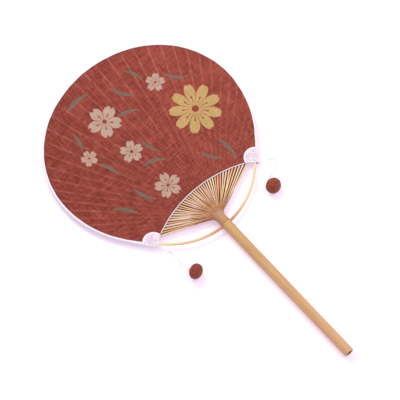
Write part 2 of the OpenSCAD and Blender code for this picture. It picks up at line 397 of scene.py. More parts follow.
def head_ring(t):
    """A ring of the unsplit head: its points, the ribs' count around it, its splits' depth."""
    f = around(HANDLE_SIDES)
    r = HANDLE_R - 0.02
    a = math.radians(RIB_SPREAD) * np.cos(f)
    tip = np.stack([HEAD_R * np.sin(a), FAN_UP + HEAD_R * np.cos(a)], 1)
    steps = np.linspace(-RIBS_ASIDE, RIBS_ASIDE, 191)
    count = np.interp(a, rib_angle(steps), steps)
    count = count + np.where(np.sin(f) < 0, 0.5, 0)
    depth = np.full_like(f, np.clip((t - 0.45) / 0.3, 0, 1))
    groove = depth * np.clip(-np.cos(2 * math.pi * count), 0, 1)**2
    start = FAN_UP - 2.4
    x = r * np.cos(f) + t * t * (tip[:, 0] - r * np.cos(f))
    y = start + t * (tip[:, 1] - start)
    z = (r + t * (HEAD_T / 2 - r) - 0.28 * groove) * np.sin(f)
    return np.stack([x, y, z], 1), count, depth


def culm_ring(v, r):
    """A ring about the handle's axis, v below the foot of the head."""
    f = around(HANDLE_SIDES)
    return np.stack([r * np.cos(f), np.full_like(f, -v), r * np.sin(f)], 1)


def handle_rings():
    """Rings of points from the head down to the cut end and up the hollow, and their values."""
    f = around(HANDLE_SIDES)
    rings, kept = [], {"count": [], "depth": [], "dark": []}

    def keep(ring, count=0, depth=0, dark=0):
        rings.append(ring)
        for values, value in zip(kept.values(), (count, depth, dark)):
            values.append(value + 0 * f)

    for t in np.linspace(1, 0, 14):
        keep(*head_ring(t))
    for v, r in zip(*culm_profile()):
        oval = 1 + 0.004 * np.cos(2 * f + 0.7 + v / 90) + 0.002 * np.cos(3 * f - v / 60)
        keep(culm_ring(v, r * oval))
    # The hollow's rings carry dark for its painted shade: full inside, half at the cut end's inner edge.
    inside = [*(HANDLE_LEN - np.array([0, 0.3, 2, 8])), 150, 90, 30, 10, PLUG]
    bore = HOLLOW_R + np.array([0.25, 0.05, 0, 0.03, 0, 0.04, 0, -0.3, -1.5])
    for v, r in zip(inside, bore):
        wall = r * (1 + 0.015 * np.cos(3 * f + 1) + 0.01 * np.cos(5 * f))
        keep(culm_ring(v, wall), dark=0.5 if v > HANDLE_LEN - 1 else 1)
    return rings, {key: np.concatenate(values) for key, values in kept.items()}


def add_handle(material):
    rings, kept = handle_rings()
    points = np.concatenate(rings)
    grain = np.tile(culm_ring(0, HANDLE_R), (len(rings), 1)) + points * [0, 1 / 30, 0]
    n = HANDLE_SIDES
    faces = [face[::-1] for face in grid_faces(len(rings), n, True)]
    faces += [(j, (j + 1) % n, (n - j - 1) % n, (n - j) % n) for j in range(1, n // 2 - 1)]
    faces += [(0, 1, n - 1), (n // 2, n // 2 + 1, n // 2 - 1)]
    last = (len(rings) - 1) * n
    faces.append(tuple(range(last + n - 1, last - 1, -1)))
    piece = make_piece("handle_culm", lay(points), faces, material, grain=grain, **kept)
    cut_bow_hole(piece)
    dress(piece, "fan", "handle_bamboo", "handle")


def cut_bow_hole(piece):
    """Drills the cross hole that the bow runs through."""
    f = around(40)
    y, z = 0.1 - BOW_DROP + BOW_HOLE_R * np.cos(f), BOW_HOLE_R * np.sin(f)
    rings = [np.stack([np.full_like(f, x), y, z], 1) for x in (-9, 9)]
    cutter = make_piece("cutter", lay(np.concatenate(rings)), tube_faces(2, len(f)))
    drill = piece.modifiers.new("drill", "BOOLEAN")
    drill.operation, drill.object, drill.solver = "DIFFERENCE", cutter, "EXACT"
    graph = bpy.context.evaluated_depsgraph_get()
    mesh = bpy.data.meshes.new_from_object(piece.evaluated_get(graph))
    piece.modifiers.clear()
    piece.data = mesh
    bpy.data.objects.remove(cutter)


# Bow

def add_bow(material):
    half_angle = math.radians(54)
    f = np.linspace(-half_angle, half_angle, 91)
    path = np.stack([BOW_R * np.sin(f), BOW_R - BOW_DROP - BOW_R * np.cos(f), 0 * f], 1)
    q = np.abs(f) / half_angle
    wide = 1.58 - 0.24 * q**1.5 + 0.03 * ripple(f * 20, 5)
    thick = np.minimum(1.55 - 0.3 * q**2, 0.68 + np.clip((66.5 - np.abs(path[:, 0])) / 5, 0, 1))
    s = around(20)
    across, up = crossways(path)
    form = [np.sign(c) * np.abs(c)**0.85 for c in (np.cos(s), np.sin(s))]
    rings = (path[:, None] + wide[:, None, None] * form[0][None, :, None] * across[:, None]
             + thick[:, None, None] * form[1][None, :, None] * up[:, None])
    run = np.repeat(f * BOW_R / 30, len(s))
    grain = np.stack([np.tile(form[0], len(f)), run + 40, np.tile(form[1], len(f))], 1)
    tone = np.repeat(0.75 + 0.12 * ripple(f * 8, 77), len(s))
    piece = make_piece("bow_rod", lay(rings.reshape(-1, 3)), tube_faces(len(f), len(s)),
                       material, grain=grain, tone=tone)
    dress(piece, "fan", "rib_bamboo", "bow")


# Cloth faces

def cover_columns(index):
    """Columns of a cover: a rib's angle, which side of it, how far in mm, and a share of the gap."""
    steps = [(0.45, 0.14), (0.85, 0.28), (1.4, 0.48), (2.4, 0.75)]
    as_far_as_may_be = 1e9
    past_last = math.radians(2.6)
    angles = rib_angle(index)
    columns = []
    for k, a in enumerate(angles):
        left = (a - angles[k - 1]) / 2 if k else past_last
        right = (angles[k + 1] - a) / 2 if k < len(angles) - 1 else past_last
        columns += [(a, -1, off, share * left) for off, share in reversed(steps)]
        columns.append((a, 0, 0, 0))
        columns += [(a, 1, off, share * right) for off, share in steps]
        if k < len(angles) - 1:
            columns.append((a, 1, as_far_as_may_be, right))
    last = math.atan2(CORNER[0], CORNER[1] - FAN_UP) - 1e-4
    tail = np.linspace(columns[-1][0] + columns[-1][3], last, 12)[1:]
    columns += [(a, 0, 0, 0) for a in tail]
    return [(-a, 0, 0, 0) for a in tail[::-1]] + columns, len(tail)


def cover_grid(index, rows=46):
    """Points of a cover on its own plane, with how close each lies to a rib."""
    columns, margin = cover_columns(index)
    inner, outer = inner_edge(), blade_edge()
    t = np.linspace(0, 1, rows)
    xy = np.zeros((rows, len(columns), 2))
    no_rib = 9.0
    near = np.full((rows, len(columns)), no_rib)
    for j, (a, s, off, most) in enumerate(columns):
        shift = s * min(off / 120, most)
        for _ in range(4):
            r0, r1 = reach_at(inner, a + shift), reach_at(outer, a + shift)
            r = r0 + (r1 - r0) * t
            shift = s * np.minimum(off / r, most)
        angle = a + shift
        xy[:, j, 0] = r * np.sin(angle)
        xy[:, j, 1] = FAN_UP + r * np.cos(angle)
        if margin <= j < len(columns) - margin:
            near[:, j] = np.abs(shift) * r
    return xy, near


def field(x, y, seed, size):
    """Smooth random heights of about unit size over a plane, with bumps about size across."""
    rng = np.random.default_rng(seed)
    total = np.zeros_like(np.asarray(x, float))
    for _ in range(14):
        turn, k = rng.uniform(0, 2 * math.pi), rng.uniform(0.6, 1.5) * 2 * math.pi / size
        total += np.sin(k * (x * math.cos(turn) + y * math.sin(turn)) + rng.uniform(0, 2 * math.pi))
    return total / math.sqrt(7)


def cloth_height(x, y, near, seed):
    """Height of a cover's outer surface: pasted down over the ribs and sunk between them."""
    sag = 1 - np.exp(-(np.maximum(near - 0.5, 0) / 1.1)**2)
    depth = 0.26 + 0.07 * field(x, y, seed, 26)
    return CLOTH_TOP - 0.02 - sag * depth - 0.015 * (1 + field(x, y, seed + 1, 5))


def add_cover(side):
    face, index = FACES[side]
    xy, near = cover_grid(index)
    rows, columns = near.shape
    x, y = xy[..., 0], xy[..., 1]
    top = cloth_height(x, y, near, 31 + side)
    layers = [np.stack([x, y, side * (top - drop)], -1).reshape(-1, 3) for drop in (0, CLOTH_T)]
    faces = grid_faces(rows, columns, False)
    count = rows * columns
    faces += shifted([corners[::-1] for corners in faces], count)
    ring = (list(range(columns)) + [i * columns + columns - 1 for i in range(1, rows)]
            + [count - 1 - j for j in range(1, columns)] + [i * columns for i in range(rows - 2, 0, -1)])
    faces += [(b, a, a + count, b + count) for a, b in zip(ring, ring[1:] + ring[:1])]
    if side < 0:
        faces = [corners[::-1] for corners in faces]
    # How close each point lies to a rib: the linen's painted highlight follows it.
    ridge = np.tile(np.exp(-(np.maximum(near - 0.2, 0) / 0.6)**2).ravel(), 2)
    slot = "back_linen" if side < 0 else "red_linen"
    piece = make_piece(face + "_linen", lay(np.concatenate(layers)), faces,
                       linen(slot, printed=side > 0), ridge=ridge)
    dress(piece, "fan", slot, face + "_cover")


# Edging thread

def add_thread(side, material):
    face, index = FACES[side]
    half_angle, radius = math.radians(25), WINDOW_R - 0.45
    f = np.linspace(-half_angle, half_angle, 441)
    x, y = radius * np.sin(f), WINDOW_UP - WINDOW_R + radius * np.cos(f)
    ribs = rib_angle(index)
    here = np.interp(np.arctan2(x, y - FAN_UP), ribs, np.arange(len(ribs)))
    between = np.abs(here - np.round(here))
    dip = np.clip((between - 0.17) / 0.33, 0, 1)
    z = 1.38 - 0.22 * dip * dip * (3 - 2 * dip)
    path = np.stack([x, y, side * z], 1)
    points, faces, kept = strands(path, 2, 0.28, 0.33, 2.1, 6)
    piece = make_piece(face + "_edging", lay(points), faces, material, **kept)
    dress(piece, "fan", "thread", face + "_thread")


# Rim and ears

def add_rim(material):
    edge = blade_edge()
    edge = smooth_path(np.column_stack([edge, 0 * edge[:, 0]]), 1.1)[:, :2]
    away = np.hypot(np.abs(edge[:, 0]) - EAR_AT[0], edge[:, 1] - EAR_AT[1])
    edge = edge[(away > EAR_R - 0.2) & (edge[:, 1] > EAR_AT[1])]
    out = outward(edge)
    run = walked(edge)
    flare = 0.85 * (np.exp(-run / 11) + np.exp((run - run[-1]) / 11))
    top = 1.0 + flare + 0.12 * ripple(run / 7, 11) + 0.05 * ripple(run, 12)
    under = 1.0 + flare + 0.12 * ripple(run / 7, 13)
    cockle = 0.03 * (1 + ripple(run / 2.5, 14))
    outer = [(-0.6, 1.3), (0.1, 1.3), (0.62, 1.2), (0.97, 0.8), (1.1, 0.3)]
    inner = [(0.92, 0.3), (0.8, 0.7), (0.52, 1.0), (0.05, 1.1), (-0.6, 1.1)]
    section = outer + [(o, -z) for o, z in outer[::-1]]
    section_in = [(o, -z) for o, z in inner[::-1]]
    rings = []
    for p, n, w, v, c in zip(edge, out, top, under, cockle):
        loop = [(-w, 1.29 + c), (-w + 0.12, 1.31 + c)] + section + [(-v + 0.12, -1.31), (-v, -1.29)]
        loop += [(-v, -1.11)] + section_in + inner + [(-w, 1.11)]
        rings.append([(*(p + n * o), z) for o, z in loop])
    rings = np.array(rings)[:, ::-1]
    count, sides = rings.shape[:2]
    piece = make_piece("rim_paper", lay(rings.reshape(-1, 3)), tube_faces(count, sides),
                       material, rim=np.ones(count * sides))
    dress(piece, "fan", "white_paper", "rim_strip")


def spanned(p, q):
    """The area that two plane vectors span."""
    return p[..., 0] * q[..., 1] - p[..., 1] * q[..., 0]


def ear_reach(f):
    """Distance from the ear's middle to its edge in a direction, and whether paper folds there."""
    edge = blade_edge()
    edge = (edge + WRAP * outward(edge))[len(edge) // 2:]
    cut = np.array([CUT_X, CUT_Y])
    over = 0.35 * unit(np.array([[0, 1], [-1, 0]]) @ (CORNER - cut))
    border = np.concatenate([edge, [edge[-1] + over, cut + over, over + [0, WINDOW_UP]]])
    a, b = border[:-1] - EAR_AT, border[1:] - EAR_AT
    d = np.array([math.cos(f), math.sin(f)])
    step = b - a
    t, u = spanned(step, a) / spanned(step, d), spanned(d, a) / spanned(step, d)
    hits = t[(t > 0) & (u >= -1e-6) & (u <= 1 + 1e-6)]
    fold = hits.min() if len(hits) else 99
    return min(fold, EAR_R + 0.35), fold < EAR_R + 0.35


def add_ear(side, material):
    n = 120
    f = around(n)
    reach, fold = np.array([ear_reach(a) for a in f], float).T
    share = np.array([0.03, 0.15, 0.3, 0.45, 0.6, 0.72, 0.82, 0.89, 0.94, 0.97, 0.985, 1])
    at_fold = np.array([0] * 8 + [0.02, 0.13, 0.4, 1.22])
    at_arc = np.array([0] * 9 + [0.01, 0.03, 0.15])
    rings, rim = [], []
    for s, drop_fold, drop_arc in zip(share, at_fold, at_arc):
        x = EAR_AT[0] + reach * s * np.cos(f)
        y = EAR_AT[1] + reach * s * np.sin(f)
        index = np.interp(np.arctan2(x, y - FAN_UP), rib_angle(FRONT_INDEX), FRONT_INDEX)
        near = np.abs(index - np.round(index)) * 5
        inside = (np.arctan2(x, y - FAN_UP) < math.radians(69)) * (1 - s**6)
        lumps = 0.05 * field(x, y, 51 + side, 4.5) + 0.03 * field(x, y, 55 + side, 1.8)
        z = 1.33 + inside * (0.1 * np.exp(-(near / 0.8)**2) + lumps)
        z = z - drop_fold * fold - drop_arc * (1 - fold)
        rings.append(np.stack([x, y, z], 1))
        rim.append(np.full(n, np.clip((s - 0.8) / 0.1, 0, 1)))
    rings += [ring * [1, 1, -1] for ring in rings[::-1]]
    rim += rim[::-1]
    points = np.concatenate(rings)
    faces = tube_faces(len(rings), n)
    if side < 0:
        points = points * [-1, 1, 1]
        faces = [face[::-1] for face in faces]
    name = side_name(side) + "_ear"
    piece = make_piece(name + "_paper", lay(points), faces, material, rim=np.concatenate(rim))
    dress(piece, "fan", "white_paper", name)


# Cords, knots and balls

def knot_mesh(at, size, turn, seed, tails=0):
    """An overhand knot pulled tight, with loose ends, in millimetres in the part's frame."""
    t = np.linspace(0, 2 * math.pi, 64)[:-1]
    loop = np.stack([np.sin(t) + 2 * np.sin(2 * t), np.cos(t) - 2 * np.cos(2 * t),
                     -1.3 * np.sin(3 * t)], 1) / 3
    a, b, c = (unit(v) for v in np.linalg.qr(np.random.default_rng(seed).normal(size=(3, 3)))[0])
    at = np.asarray(at)
    path = at + (size - 0.44) * (loop[:, :1] * a + loop[:, 1:2] * b + loop[:, 2:] * c * 0.8)
    path = np.concatenate([path, path[:2]])
    parts = [strands(path, 1, 0, 0.42, 9, 10)]
    rng = np.random.default_rng(seed + 5)
    for k in range(tails):
        way = unit(np.array([math.cos(turn + 0.5 * k), math.sin(turn + 0.5 * k), 0.1 - 0.25 * k]))
        end = at + way * (size * 0.6) + np.outer(np.linspace(0, 2.2, 7), way)
        end = end + 0.25 * rng.normal(size=(1, 3)) * np.linspace(0, 1, 7)[:, None]**2
        parts.append(strands(end, 2, 0.16, 0.2, 2.4, 6))
    return joined(parts)


def add_knot(name, body, node, material, *form):
    points, faces, kept = knot_mesh(*form)
    piece = make_piece(name, points / 1000, faces, material, **kept)
    return dress(piece, body, "white_cord", node)


def ball_points(seed):
    """A flattened stuffed ball about its own middle, gathered at the pole on +Z."""
    n = 144
    f = around(n)
    rings, gather = [], []
    for polar in np.concatenate([np.linspace(0.03, 0.6, 16), np.linspace(0.66, math.pi - 0.03, 34)]):
        r = (BALL_R - 0.1) * math.sin(polar)**0.9
        h = (BALL_HALF - 0.05) * math.copysign(abs(math.cos(polar))**0.9, math.cos(polar))
        pleat = math.exp(-(polar / 0.5)**2)
        fold = np.cos(15 * f + 0.7 * np.sin(3 * f) + 0.4 * np.sin(5 * f + 1))
        x, y = (way * math.sin(polar) * BALL_R for way in (np.cos(f), np.sin(f)))
        lump = field(x + 4 * h, y - 3 * h, seed, 7)
        r = r * (1 + 0.012 * lump - 0.027) + 0.34 * pleat * fold * min(1, polar * 3)
        h = h + 0.1 * lump * abs(math.cos(polar)) + 0.2 * pleat * fold - 1.1 * math.exp(-(polar / 0.25)**2)
        rings.append(np.stack([r * np.cos(f), r * np.sin(f), h + 0 * f], 1))
        # How much painted shade lies in each pleat's valley near the pole.
        gather.append(np.full(n, pleat) * (0.5 - 0.5 * fold))
    return rings, np.concatenate(gather)


def add_ball(side, knot, pole, material):
    name = side_name(side)
    rings, gather = ball_points(61 + side)
    axis = unit(pole)
    a = unit(np.cross((0, 0, 1), axis))
    b = np.cross(axis, a)
    middle = np.asarray(knot) - KNOT_REACH * axis
    local = np.concatenate(rings)
    points = middle + local[:, :1] * a + local[:, 1:2] * b + local[:, 2:] * axis
    faces = [face[::-1] for face in tube_faces(len(rings), len(rings[0]))]
    piece = make_piece(name + "_ball_cloth", points / 1000, faces, material,
                       grain=local, gather=gather)
    dress(piece, name + "_pendant", "ball_cloth", name + "_ball", name + "_filling")
    return piece


def add_loop(side, material):
    """The thin loop through an ear's corner that the cord is tied to."""
    half = [(72.0, 24.6, 1.6), (71.8, 25.5, 1.75), (71.7, 26.6, 1.75), (71.6, 27.3, 1.4)]
    route = [(72.1, 24.1, 1.2), *half, (71.6, 27.6, 0)]
    route += [(x, y, -z) for x, y, z in route[-2::-1]]
    path = smooth_path(np.array(route) * [side, 1, 1], 0.4)
    points, faces, kept = strands(path, 2, 0.17, 0.22, 2.2, 6)
    piece = make_piece(side_name(side) + "_loop", lay(points), faces, material, **kept)
    dress(piece, "fan", "white_cord")


def add_pendant(side, route, pole, cord_look, ball_look):
    """One cord with its tie, its end knot and its ball."""
    name = side_name(side)
    path = smooth_path(route, 0.4)
    points, faces, kept = strands(path, 3, 0.22, 0.27, 3.0, 7)
    cord = make_piece(name + "_cord_twist", points / 1000, faces, cord_look, **kept)
    dress(cord, name + "_pendant", "white_cord", name + "_cord")
    tie = add_knot(name + "_tie_knot", name + "_knotted_end", name + "_tie", cord_look,
                   (side * TIE[0], *TIE[1:]), 1.1, 0, 8 + side)
    turn = math.atan2(-pole[1], pole[0]) + math.pi * 0.6 * side
    knot = add_knot(name + "_end_knot", name + "_pendant", name + "_knot", cord_look,
                    route[-1], 1.5, turn, 18 + side, 2)
    ball = add_ball(side, route[-1], pole, ball_look)


# Materials

def colour(r, g, b):
    """A colour given as a screen shows it, from 0 to 255, as Blender's nodes take it."""
    return tuple(c / 12.92 if c <= 0.04045 else ((c + 0.055) / 1.055)**2.4
                 for c in (r / 255, g / 255, b / 255)) + (1,)


class Look:
    """A material's nodes, or a node group's, built by short calls that return sockets."""

    def __init__(self, name, tree=None, **sockets):
        if tree:
            self.tree = tree
            return
        self.material = bpy.data.materials.new(name)
        self.material.use_nodes = True
        self.tree = self.material.node_tree
        self.shader = self.tree.nodes["Principled BSDF"]
        for key, value in sockets.items():
            self.shader.inputs[key.replace("_", " ")].default_value = value

    def put(self, kind, values=(), output=0, **settings):
        """Adds a node. values are its inputs, by place in a list or by name in a dictionary."""
        node = self.tree.nodes.new("ShaderNode" + kind)
        for key, value in settings.items():
            setattr(node, key, value)
        pairs = values.items() if isinstance(values, dict) else enumerate(values)
        for key, value in pairs:
            if isinstance(value, bpy.types.NodeSocket):
                self.tree.links.new(value, node.inputs[key])
            elif value is not None:
                node.inputs[key].default_value = value
        return node.outputs[output]

    def math(self, operation, *values):
        return self.put("Math", values, operation=operation)

    def mul(self, a, b):
        return self.math("MULTIPLY", a, b)

    def add(self, a, b):
        return self.math("ADD", a, b)

    def less(self, a, b):
        return self.math("SUBTRACT", a, b)

    def size(self, a):
        return self.math("ABSOLUTE", a)

    def most(self, a, b):
        return self.math("MAXIMUM", a, b)

    def scaled(self, vector, factors):
        return self.put("VectorMath", [vector, factors], operation="MULTIPLY")

    def moved(self, vector, by):
        return self.put("VectorMath", [vector, by], operation="ADD")

    def apart(self, vector, other):
        return self.put("VectorMath", [vector, other], operation="SUBTRACT")

    def length(self, vector):
        return self.put("VectorMath", [vector], 1, operation="LENGTH")

    def turned(self, vector, angle):
        return self.put("VectorRotate", {"Vector": vector, "Angle": angle}, rotation_type="Z_AXIS")

    def noise(self, vector, scale, detail=2.0, roughness=0.5):
        values = {"Vector": vector, "Scale": scale, "Detail": detail, "Roughness": roughness}
        return self.put("TexNoise", values)

    def fit(self, value, low, high, to_low=0.0, to_high=1.0):
        """Turns the range low to high into to_low to to_high, held at its ends."""
        return self.put("MapRange", [value, low, high, to_low, to_high])

    def mix(self, share, a, b):
        return self.put("Mix", {0: share, 6: a, 7: b}, 2, data_type="RGBA")

    def x_and_y(self, place):
        x = self.put("SeparateXYZ", [place])
        return x, x.node.outputs[1]

    def kept(self, name, output):
        """A value kept at the mesh's vertices: output 1 is a vector and 2 a number."""
        return self.put("Attribute", output=output, attribute_name=name)

    def here(self):
        """The place on the object, in millimetres in the part's frame."""
        return self.scaled(self.put("TexCoord", output=3), (1000, 1000, 1000))

    def finish(self, shade, height=None, depth=0.0001, roughness=None):
        link = self.tree.links.new
        link(shade, self.shader.inputs["Base Color"])
        if height is not None:
            bump = self.put("Bump", {"Height": height, "Distance": depth, "Strength": 1.0})
            link(bump, self.shader.inputs["Normal"])
        if roughness is not None:
            link(roughness, self.shader.inputs["Roughness"])
        return self.material


def weave(look, p, pitch):
    """Height of a plain weave's threads, from 0 to 1."""
    x, y = look.x_and_y(look.scaled(p, (1 / pitch,) * 3))
    bumps = []
    for value in (x, y):
        middle = look.add(look.mul(look.math("FRACT", value), 2), -1)
        bumps.append(look.less(1.0, look.mul(middle, middle)))
    cells = look.add(look.math("FLOOR", x), look.math("FLOOR", y))
    over = look.math("FLOORED_MODULO", cells, 2.0)
    return look.add(look.mul(bumps[0], over), look.mul(bumps[1], look.less(1.0, over)))


def new_group(name, inputs):
    """A node group that turns a place and some numbers into a mask."""
    tree = bpy.data.node_groups.new(name, "ShaderNodeTree")
    tree.interface.new_socket("Place", in_out="INPUT", socket_type="NodeSocketVector")
    for key in inputs:
        tree.interface.new_socket(key, in_out="INPUT", socket_type="NodeSocketFloat")
    tree.interface.new_socket("Mask", in_out="OUTPUT", socket_type="NodeSocketFloat")
    return Look(name, tree), tree.nodes.new("NodeGroupInput").outputs


def close_group(look, mask):
    out = look.tree.nodes.new("NodeGroupOutput")
    look.tree.links.new(mask, out.inputs[0])
    return look.tree


def local_place(look, given):
    """The place as seen from a motif's middle, turned and scaled so its radius is 1."""
    middle = look.put("CombineXYZ", [given["X"], given["Y"], 0.0])
    off = look.turned(look.apart(given["Place"], middle), given["Turn"])
    return look.scaled(off, look.put("CombineXYZ", [look.math("DIVIDE", 1.0, given["Size"])] * 2))


def blossom_group():
    """A flat blossom with notched petals, bare at its eye and along its stamens."""
    look, given = new_group("blossom", ["X", "Y", "Size", "Turn", "Petals", "Notch"])
    place = local_place(look, given)
    x, y = look.x_and_y(place)
    far = look.length(place)
    angle = look.math("ARCTAN2", y, x)
    wave = look.size(look.math("COSINE", look.mul(look.mul(angle, given["Petals"]), 0.5)))
    petal = look.add(0.42, look.mul(look.math("POWER", wave, 0.62), 0.58))
    petal = look.less(petal, look.mul(look.fit(wave, 0.965, 1.0), given["Notch"]))
    body = look.fit(look.less(petal, far), -0.012, 0.012)
    eye = look.fit(far, 0.12, 0.15)
    reach = look.most(look.fit(far, 0.44, 0.4, 1, 0), look.fit(far, 0.2, 0.24, 1, 0))
    stamen = look.most(look.fit(wave, 0.992, 0.978), reach)
    dots = look.most(look.fit(wave, 0.975, 0.95), look.fit(look.size(look.add(far, -0.46)), 0.03, 0.045))
    vein = look.fit(wave, 0.05, 0.14)
    return close_group(look, look.mul(look.mul(body, eye), look.mul(look.mul(stamen, dots), vein)))


def leaf_group():
    """A slender bent leaf, pointed at both ends, with a bare line along its middle."""
    look, given = new_group("leaf", ["X", "Y", "Size", "Turn", "Width", "Bend"])
    place = local_place(look, given)
    x, y = look.x_and_y(place)
    square = look.mul(x, x)
    across = look.size(look.add(y, look.mul(square, given["Bend"])))
    full = look.mul(look.less(1.0, square), given["Width"])
    skew = look.mul(full, look.fit(x, -1.0, 1.0, 1.25, 0.75))
    body = look.fit(look.less(skew, across), -0.012, 0.012)
    line = look.most(look.fit(across, 0.006, 0.018), look.fit(x, 0.3, 0.6))
    return close_group(look, look.mul(body, look.add(0.25, look.mul(line, 0.75))))


# The printed design: middle, size, turn and form of each motif, in millimetres from the
# middle of the blade, along the print's own right and up
GOLD = [(47, 41, 29, 0.2, 9, 0.05)]
CREAM = [
    (-50, 26, 19, 0.1, 5, 0.16), (-21, -8, 13, 0.75, 5, 0.16),
    (-66, -16, 9.5, 0.4, 5, 0.16), (4, 71, 11, 1.0, 5, 0.16), (18, -46, 15, 0.5, 5, 0.16),
]
LEAVES = [
    (-80, 49, 17, -0.75, 0.13, 0.18), (-32, 58, 15, 0.3, 0.14, -0.2),
    (-26, 37, 14, -0.35, 0.14, 0.2), (-77, 3, 13, 1.1, 0.14, 0.2),
    (3, -18, 14, -0.3, 0.14, 0.22), (-2, -3, 13, 0.55, 0.14, -0.18),
    (-44, -27, 14, 0.5, 0.13, 0.2), (26, 77, 14, 0.1, 0.13, -0.2),
    (-18, 80, 13, 0.5, 0.14, 0.2), (-8, -58, 15, 0.45, 0.13, -0.2),
    (-26, -74, 16, 0.2, 0.12, 0.2), (83, -4, 16, 0.85, 0.13, 0.2),
    (64, -14, 13, 0.25, 0.14, -0.2),
]


def printed_on(look, p, cloth, wear):
    """Prints the design on a cloth colour."""
    place = look.turned(look.moved(p, (0, -(BLADE_UP + FOOT_Y), 0)), -AZIMUTH)
    rough = look.apart(look.noise(p, 1.1, 2.0), (0.5,) * 3)
    place = look.moved(place, look.scaled(rough, (0.9, 0.9, 0)))
    blossom, leaf = blossom_group(), leaf_group()
    for motifs, group, ink in (
            (LEAVES, leaf, colour(122, 116, 100)), (CREAM, blossom, colour(208, 177, 157)),
            (GOLD, blossom, colour(214, 180, 116))):
        mask = 0.0
        for motif in motifs:
            node = look.tree.nodes.new("ShaderNodeGroup")
            node.node_tree = group
            look.tree.links.new(place, node.inputs[0])
            for k, value in enumerate(motif, 1):
                node.inputs[k].default_value = value
            mask = look.most(mask, node.outputs[0])
        cloth = look.mix(look.mul(mask, wear), cloth, ink)
    return cloth


def crossed(look, p, fine, long, roughness):
    """Noise drawn out along each of the cloth's two threads."""
    return [look.noise(look.scaled(p, factors), 1.0, 2.0, roughness)
            for factors in ((fine, long, 0.3), (long, fine, 0.3))]


def from_fan_point(look, p):
    """A place as seen from the point that the ribs fan out from."""
    return look.moved(p, (0, -(FOOT_Y + FAN_UP), 0))


def linen(name, printed):
    """Coarse dyed linen, lighter where the ribs press it from below as a painted highlight, and lighter
    towards +X as painted light.
    """
    look = Look(name, Roughness=0.85, Sheen_Weight=0.12, Specular_IOR_Level=0.15)
    p = look.here()
    threads = weave(look, p, 0.6)
    warp, weft = crossed(look, p, 1.9, 0.04, 0.65)
    slub = look.add(look.fit(warp, 0.3, 0.7, -0.5, 0.5), look.fit(weft, 0.3, 0.7, -0.5, 0.5))
    short = look.add(*crossed(look, p, 2.2, 0.12, 0.6))
    cloud = look.noise(p, 0.045, 3.0)
    # Painted light: the cloth is made lighter towards +X, as though lit more from that side.
    painted_light_gradient = look.fit(look.put("SeparateXYZ", [p]), -110.0, 110.0, -0.15, 0.12)
    tone = look.add(look.add(0.4, look.mul(slub, 0.75)), look.fit(cloud, 0.3, 0.7, -0.12, 0.12))
    tone = look.add(look.add(tone, painted_light_gradient), look.fit(short, 0.65, 1.35, -0.75, 0.75))
    tone = look.add(tone, look.fit(threads, 0.0, 1.0, -0.26, 0.2))
    shade = look.mix(tone, colour(114, 40, 31), colour(186, 90, 74))
    pale = look.most(look.fit(warp, 0.66, 0.76), look.fit(weft, 0.66, 0.76))
    shade = look.mix(look.mul(pale, 0.3), shade, colour(214, 150, 130))
    # Painted highlight: pale broken streaks along the ribs' ridges, stronger away from the fan point.
    painted_ridge_highlight = look.fit(look.noise(look.scaled(p, (0.12, 0.12, 0)), 1.0), 0.35, 0.7, 0.1, 0.55)
    painted_ridge_highlight = look.mul(look.mul(look.kept("ridge", 2), painted_ridge_highlight),
                    look.fit(look.length(from_fan_point(look, p)), 60.0, 200.0, 0.25, 1.0))
    shade = look.mix(painted_ridge_highlight, shade, colour(210, 138, 118))
    if printed:
        rough = look.add(slub, look.fit(short, 0.65, 1.35, -0.8, 0.8))
        wear = look.fit(look.add(rough, look.mul(threads, 0.3)), -0.8, 0.5, 0.7, 0.98)
        shade = printed_on(look, p, shade, wear)
        shade = look.mix(look.fit(rough, -0.6, 0.6, 0.2, 0.0), shade, colour(112, 50, 42))
    height = look.add(look.mul(threads, 0.6), look.mul(slub, 0.5))
    return look.finish(shade, height, 0.00012)


def bamboo(name, dark, light, flecks, streaks, **sockets):
    """Split or whole bamboo, with fibres along the vertices' own grain."""
    look = Look(name, **sockets)
    grain = look.kept("grain", 1)
    fibre = look.noise(look.scaled(grain, (3.2, 1.0, 3.2)), 1.0, 4.0, 0.6)
    broad = look.noise(look.scaled(grain, (0.35, 0.5, 0.35)), 1.0, 2.0)
    tone = look.add(look.fit(fibre, 0.25, 0.75, -streaks, streaks), look.fit(broad, 0.3, 0.7, -0.2, 0.2))
    tone = look.add(tone, look.fit(look.kept("tone", 2), 0.0, 1.0, 0.3, 0.9))
    shade = look.mix(tone, dark, light)
    fleck = look.noise(look.scaled(grain, (1.4, 7.0, 1.4)), 1.0, 2.0, 0.7)
    shade = look.mix(look.mul(look.fit(fleck, 0.66, 0.74), flecks), shade, colour(122, 76, 44))
    return look, shade, fibre


def band(look, value, middle, half):
    """1 along a narrow band about a value's middle, fading to 0 at its sides."""
    return look.fit(look.size(look.add(value, -middle)), half, 0.4 * half)


